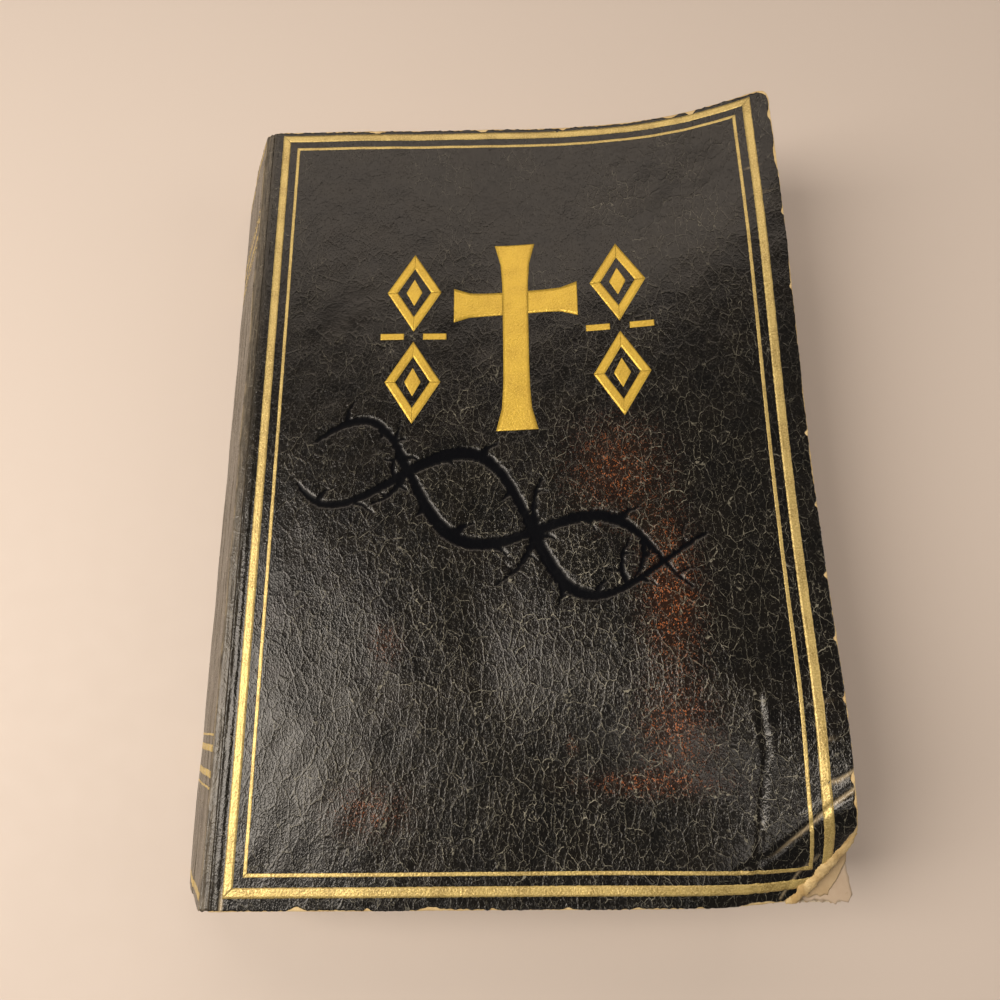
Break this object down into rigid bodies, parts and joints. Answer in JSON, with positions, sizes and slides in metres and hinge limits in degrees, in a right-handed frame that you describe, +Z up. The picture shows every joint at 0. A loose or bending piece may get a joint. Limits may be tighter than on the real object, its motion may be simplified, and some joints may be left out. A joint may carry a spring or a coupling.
{
  "type": "bible",
  "caption": "Thick paperback bible with a black leather-look cover, gold foil frame and cross, rolled spine, and covers and pages that open.",
  "frame": {"origin": "middle of the back cover's underside, the face the book lies on", "axes": "+X from the spine to the fore-edge, +Y from the tail to the head, +Z up through the pages to the front cover"},
  "size_m": [0.1614, 0.21, 0.0483],
  "materials": {
    "cover_skin": "black crackled leatherette, worn semi-gloss",
    "cover_card": "cream pulp card, raw edge",
    "gold_foil": "matte gold foil blocking, rubbed",
    "paper": "thin uncoated bible paper",
    "spine_glue": "aged hot-melt adhesive"
  },
  "bodies": {
    "lower_pages": {"signature_01": "paper", "signature_02": "paper", "signature_03": "paper", "signature_04": "paper", "spine_adhesive_1": "spine_glue", "spine_card_1": "cover_card", "spine_skin_1": "cover_skin", "spine_rules_1": "gold_foil", "back_flyleaf": "paper", "back_leaf_stub": "paper"},
    "lower_middle_pages": {"signature_05": "paper", "signature_06": "paper", "signature_07": "paper", "signature_08": "paper", "spine_adhesive_2": "spine_glue", "spine_card_2": "cover_card", "spine_skin_2": "cover_skin", "spine_rules_2": "gold_foil"},
    "upper_middle_pages": {"signature_09": "paper", "signature_10": "paper", "signature_11": "paper", "signature_12": "paper", "spine_adhesive_3": "spine_glue", "spine_card_3": "cover_card", "spine_skin_3": "cover_skin", "spine_rules_3": "gold_foil"},
    "upper_pages": {"signature_13": "paper", "signature_14": "paper", "signature_15": "paper", "signature_16": "paper", "spine_adhesive_4": "spine_glue", "spine_card_4": "cover_card", "spine_skin_4": "cover_skin", "spine_rules_4": "gold_foil", "front_leaf_stub": "paper"},
    "front_cover": {"front_cover_card": "cover_card", "front_cover_skin": "cover_skin", "front_outer_rule": "gold_foil", "front_inner_rule": "gold_foil", "front_cross_emblem": "gold_foil", "front_lozenges": "gold_foil"},
    "back_cover": {"back_cover_card": "cover_card", "back_cover_skin": "cover_skin"},
    "front_flyleaf_body": {"front_flyleaf": "paper"},
    "front_leaf_2_body": {"front_leaf_2": "paper"},
    "front_leaf_3_body": {"front_leaf_3": "paper"},
    "front_leaf_4_body": {"front_leaf_4": "paper"},
    "middle_leaf_1_body": {"middle_leaf_1": "paper"},
    "middle_leaf_2_body": {"middle_leaf_2": "paper"},
    "middle_leaf_3_body": {"middle_leaf_3": "paper"},
    "middle_leaf_4_body": {"middle_leaf_4": "paper"},
    "middle_leaf_5_body": {"middle_leaf_5": "paper"}
  },
  "joints": [
    {"name": "front_cover_hinge", "type": "hinge", "parent": "upper_pages", "child": "front_cover", "pos_m": [-0.0529, 0, 0.034], "axis": [0, -1, 0], "range_deg": [0, 180]},
    {"name": "back_cover_hinge", "type": "hinge", "parent": "lower_pages", "child": "back_cover", "pos_m": [-0.0683, 0, -0.00015], "axis": [0, 1, 0], "range_deg": [0, 183]},
    {"name": "spine_crease_lower", "type": "hinge", "parent": "lower_pages", "child": "lower_middle_pages", "pos_m": [-0.06917, 0, 0.00842], "axis": [0, 1, 0], "range_deg": [-7, 0]},
    {"name": "middle_opening", "type": "hinge", "parent": "lower_middle_pages", "child": "upper_middle_pages", "pos_m": [-0.06548, 0, 0.01652], "axis": [0, 1, 0], "range_deg": [-158, 0]},
    {"name": "spine_crease_upper", "type": "hinge", "parent": "upper_middle_pages", "child": "upper_pages", "pos_m": [-0.0618, 0, 0.02462], "axis": [0, 1, 0], "range_deg": [-7, 0]},
    {"name": "front_flyleaf_turn", "type": "hinge", "parent": "upper_pages", "child": "front_flyleaf_body", "pos_m": [-0.0523, 0, 0.034], "axis": [0, -1, 0], "range_deg": [0, 167.9]},
    {"name": "front_leaf_2_turn", "type": "hinge", "parent": "upper_pages", "child": "front_leaf_2_body", "pos_m": [-0.0523, 0, 0.034], "axis": [0, -1, 0], "range_deg": [0, 151.7]},
    {"name": "front_leaf_3_turn", "type": "hinge", "parent": "upper_pages", "child": "front_leaf_3_body", "pos_m": [-0.0523, 0, 0.034], "axis": [0, -1, 0], "range_deg": [0, 126.5]},
    {"name": "front_leaf_4_turn", "type": "hinge", "parent": "upper_pages", "child": "front_leaf_4_body", "pos_m": [-0.0523, 0, 0.034], "axis": [0, -1, 0], "range_deg": [0, 90.5]},
    {"name": "middle_leaf_1_turn", "type": "hinge", "parent": "lower_middle_pages", "child": "middle_leaf_1_body", "pos_m": [-0.06418, 0, 0.01652], "axis": [0, 1, 0], "range_deg": [-19.46, 0]},
    {"name": "middle_leaf_2_turn", "type": "hinge", "parent": "lower_middle_pages", "child": "middle_leaf_2_body", "pos_m": [-0.06418, 0, 0.01652], "axis": [0, 1, 0], "range_deg": [-47.9, 0]},
    {"name": "middle_leaf_3_turn", "type": "hinge", "parent": "lower_middle_pages", "child": "middle_leaf_3_body", "pos_m": [-0.06418, 0, 0.01652], "axis": [0, 1, 0], "range_deg": [-79.5, 0]},
    {"name": "middle_leaf_4_turn", "type": "hinge", "parent": "lower_middle_pages", "child": "middle_leaf_4_body", "pos_m": [-0.06418, 0, 0.01652], "axis": [0, 1, 0], "range_deg": [-111.1, 0]},
    {"name": "middle_leaf_5_turn", "type": "hinge", "parent": "lower_middle_pages", "child": "middle_leaf_5_body", "pos_m": [-0.06418, 0, 0.01652], "axis": [0, 1, 0], "range_deg": [-136.38, 0]}
  ],
  "couplings": [
    {"joint": "front_flyleaf_turn", "follows": "front_cover_hinge", "ratio": 0.93},
    {"joint": "front_leaf_2_turn", "follows": "front_cover_hinge", "ratio": 0.84},
    {"joint": "front_leaf_3_turn", "follows": "front_cover_hinge", "ratio": 0.7},
    {"joint": "front_leaf_4_turn", "follows": "front_cover_hinge", "ratio": 0.5},
    {"joint": "middle_leaf_1_turn", "follows": "middle_opening", "ratio": 0.12},
    {"joint": "middle_leaf_2_turn", "follows": "middle_opening", "ratio": 0.3},
    {"joint": "middle_leaf_3_turn", "follows": "middle_opening", "ratio": 0.5},
    {"joint": "middle_leaf_4_turn", "follows": "middle_opening", "ratio": 0.7},
    {"joint": "middle_leaf_5_turn", "follows": "middle_opening", "ratio": 0.86}
  ]
}
